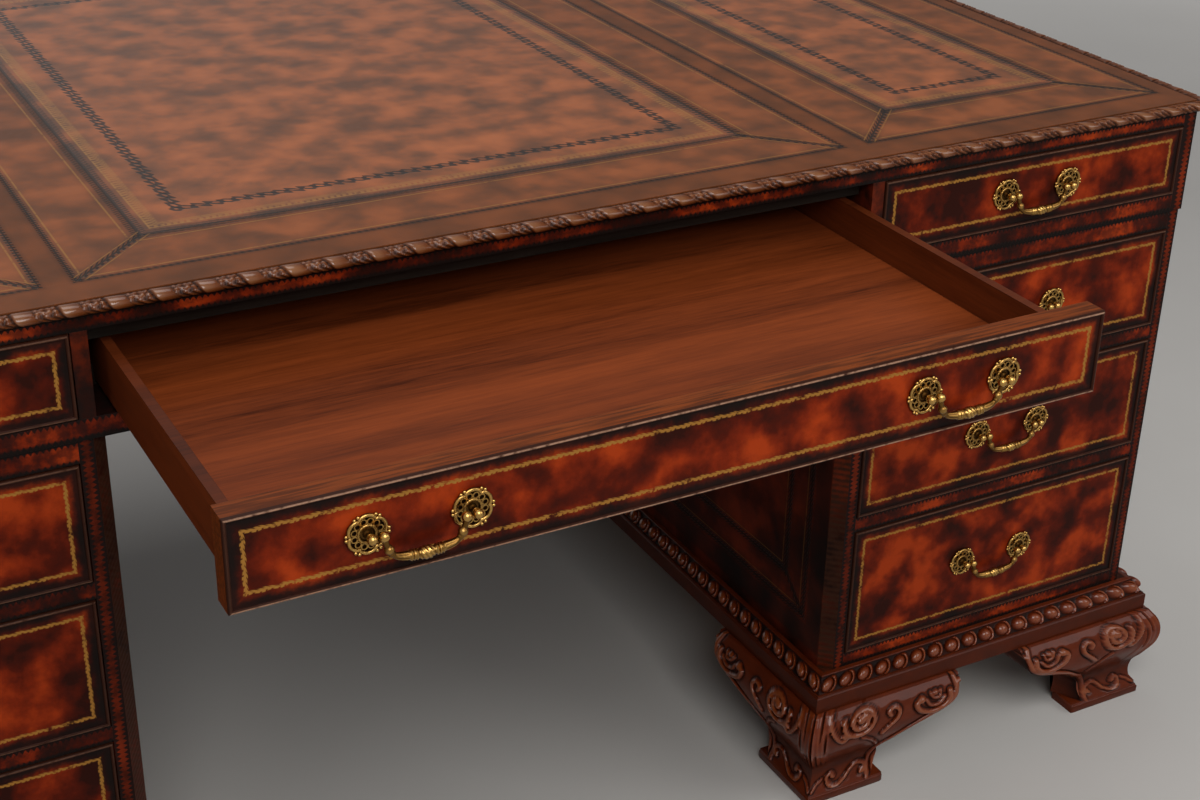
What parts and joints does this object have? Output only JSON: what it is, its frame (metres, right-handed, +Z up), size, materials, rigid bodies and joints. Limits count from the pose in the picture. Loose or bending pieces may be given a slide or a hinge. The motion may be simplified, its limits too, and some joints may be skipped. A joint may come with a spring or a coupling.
{
  "type": "pedestal desk",
  "caption": "Kneehole writing desk on two drawer pedestals with carved bracket feet, mottled tooled leather facing, a panelled leather top and brass bail pulls.",
  "frame": {"origin": "on the floor, below the middle of the desk's box as it stands with its centre drawer open", "axes": "+X to the right along the drawer front, +Y from the front to the back, +Z up"},
  "size_m": [1.7504, 1.4684, 0.7802],
  "materials": {
    "mahogany": "carved and polished red-brown mahogany",
    "leather_faced_board": "boards faced with thin mottled red-brown leather, tooled in gold and black",
    "top_leather": "brown writing leather with tooled borders and a soft sheen",
    "brass": "cast antique brass, darkened in the hollows",
    "carcass_wood": "plain planed carcass wood"
  },
  "bodies": {
    "case": {"top_board": "carcass_wood", "top_leather_borders": "top_leather", "top_leather_fields": "top_leather", "top_leather_margins": "top_leather", "top_edge_moulding": "mahogany", "frieze_end_panels": "leather_faced_board", "frieze_back_panel": "leather_faced_board", "frieze_front_rails": "leather_faced_board", "frieze_partitions": "leather_faced_board", "frieze_top_rails": "carcass_wood", "frieze_runners": "carcass_wood", "right_pedestal_sides": "leather_faced_board", "right_pedestal_back": "leather_faced_board", "right_pedestal_front_rails": "leather_faced_board", "right_pedestal_runners": "carcass_wood", "right_pedestal_plinth": "mahogany", "right_pedestal_feet": "mahogany", "left_pedestal_sides": "leather_faced_board", "left_pedestal_back": "leather_faced_board", "left_pedestal_front_rails": "leather_faced_board", "left_pedestal_runners": "carcass_wood", "left_pedestal_plinth": "mahogany", "left_pedestal_feet": "mahogany"},
    "centre_drawer": {"centre_drawer_front": "leather_faced_board", "centre_drawer_box": "mahogany", "centre_drawer_pulls": "brass"},
    "centre_drawer_left_handle": {"centre_drawer_left_bail": "brass"},
    "centre_drawer_right_handle": {"centre_drawer_right_bail": "brass"},
    "right_frieze_drawer": {"right_frieze_drawer_front": "leather_faced_board", "right_frieze_drawer_box": "mahogany", "right_frieze_drawer_pulls": "brass"},
    "right_frieze_drawer_handle": {"right_frieze_drawer_bail": "brass"},
    "right_upper_drawer": {"right_upper_drawer_front": "leather_faced_board", "right_upper_drawer_box": "mahogany", "right_upper_drawer_pulls": "brass"},
    "right_upper_drawer_handle": {"right_upper_drawer_bail": "brass"},
    "right_middle_drawer": {"right_middle_drawer_front": "leather_faced_board", "right_middle_drawer_box": "mahogany", "right_middle_drawer_pulls": "brass"},
    "right_middle_drawer_handle": {"right_middle_drawer_bail": "brass"},
    "right_lower_drawer": {"right_lower_drawer_front": "leather_faced_board", "right_lower_drawer_box": "mahogany", "right_lower_drawer_pulls": "brass"},
    "right_lower_drawer_handle": {"right_lower_drawer_bail": "brass"},
    "left_frieze_drawer": {"left_frieze_drawer_front": "leather_faced_board", "left_frieze_drawer_box": "mahogany", "left_frieze_drawer_pulls": "brass"},
    "left_frieze_drawer_handle": {"left_frieze_drawer_bail": "brass"},
    "left_upper_drawer": {"left_upper_drawer_front": "leather_faced_board", "left_upper_drawer_box": "mahogany", "left_upper_drawer_pulls": "brass"},
    "left_upper_drawer_handle": {"left_upper_drawer_bail": "brass"},
    "left_middle_drawer": {"left_middle_drawer_front": "leather_faced_board", "left_middle_drawer_box": "mahogany", "left_middle_drawer_pulls": "brass"},
    "left_middle_drawer_handle": {"left_middle_drawer_bail": "brass"},
    "left_lower_drawer": {"left_lower_drawer_front": "leather_faced_board", "left_lower_drawer_box": "mahogany", "left_lower_drawer_pulls": "brass"},
    "left_lower_drawer_handle": {"left_lower_drawer_bail": "brass"}
  },
  "joints": [
    {"name": "centre_drawer_slide", "type": "slide", "parent": "case", "child": "centre_drawer", "axis": [0, -1, 0], "range_m": [-0.34, 0.1]},
    {"name": "centre_drawer_left_handle_hinge", "type": "hinge", "parent": "centre_drawer", "child": "centre_drawer_left_handle", "pos_m": [-0.247, -0.7299, 0.716], "axis": [-1, 0, 0], "range_deg": [-15, 100]},
    {"name": "centre_drawer_right_handle_hinge", "type": "hinge", "parent": "centre_drawer", "child": "centre_drawer_right_handle", "pos_m": [0.247, -0.7299, 0.716], "axis": [-1, 0, 0], "range_deg": [-15, 100]},
    {"name": "right_frieze_drawer_slide", "type": "slide", "parent": "case", "child": "right_frieze_drawer", "axis": [0, -1, 0], "range_m": [0, 0.42]},
    {"name": "right_frieze_drawer_handle_hinge", "type": "hinge", "parent": "right_frieze_drawer", "child": "right_frieze_drawer_handle", "pos_m": [0.60975, -0.3899, 0.716], "axis": [-1, 0, 0], "range_deg": [-15, 100]},
    {"name": "right_upper_drawer_slide", "type": "slide", "parent": "case", "child": "right_upper_drawer", "axis": [0, -1, 0], "range_m": [0, 0.42]},
    {"name": "right_upper_drawer_handle_hinge", "type": "hinge", "parent": "right_upper_drawer", "child": "right_upper_drawer_handle", "pos_m": [0.61225, -0.3879, 0.57475], "axis": [-1, 0, 0], "range_deg": [-15, 100]},
    {"name": "right_middle_drawer_slide", "type": "slide", "parent": "case", "child": "right_middle_drawer", "axis": [0, -1, 0], "range_m": [0, 0.42]},
    {"name": "right_middle_drawer_handle_hinge", "type": "hinge", "parent": "right_middle_drawer", "child": "right_middle_drawer_handle", "pos_m": [0.61225, -0.3879, 0.4295], "axis": [-1, 0, 0], "range_deg": [-15, 100]},
    {"name": "right_lower_drawer_slide", "type": "slide", "parent": "case", "child": "right_lower_drawer", "axis": [0, -1, 0], "range_m": [0, 0.42]},
    {"name": "right_lower_drawer_handle_hinge", "type": "hinge", "parent": "right_lower_drawer", "child": "right_lower_drawer_handle", "pos_m": [0.61225, -0.3879, 0.263], "axis": [-1, 0, 0], "range_deg": [-15, 100]},
    {"name": "left_frieze_drawer_slide", "type": "slide", "parent": "case", "child": "left_frieze_drawer", "axis": [0, -1, 0], "range_m": [0, 0.42]},
    {"name": "left_frieze_drawer_handle_hinge", "type": "hinge", "parent": "left_frieze_drawer", "child": "left_frieze_drawer_handle", "pos_m": [-0.60975, -0.3899, 0.716], "axis": [-1, 0, 0], "range_deg": [-15, 100]},
    {"name": "left_upper_drawer_slide", "type": "slide", "parent": "case", "child": "left_upper_drawer", "axis": [0, -1, 0], "range_m": [0, 0.42]},
    {"name": "left_upper_drawer_handle_hinge", "type": "hinge", "parent": "left_upper_drawer", "child": "left_upper_drawer_handle", "pos_m": [-0.61225, -0.3879, 0.57475], "axis": [-1, 0, 0], "range_deg": [-15, 100]},
    {"name": "left_middle_drawer_slide", "type": "slide", "parent": "case", "child": "left_middle_drawer", "axis": [0, -1, 0], "range_m": [0, 0.42]},
    {"name": "left_middle_drawer_handle_hinge", "type": "hinge", "parent": "left_middle_drawer", "child": "left_middle_drawer_handle", "pos_m": [-0.61225, -0.3879, 0.4295], "axis": [-1, 0, 0], "range_deg": [-15, 100]},
    {"name": "left_lower_drawer_slide", "type": "slide", "parent": "case", "child": "left_lower_drawer", "axis": [0, -1, 0], "range_m": [0, 0.42]},
    {"name": "left_lower_drawer_handle_hinge", "type": "hinge", "parent": "left_lower_drawer", "child": "left_lower_drawer_handle", "pos_m": [-0.61225, -0.3879, 0.263], "axis": [-1, 0, 0], "range_deg": [-15, 100]}
  ]
}
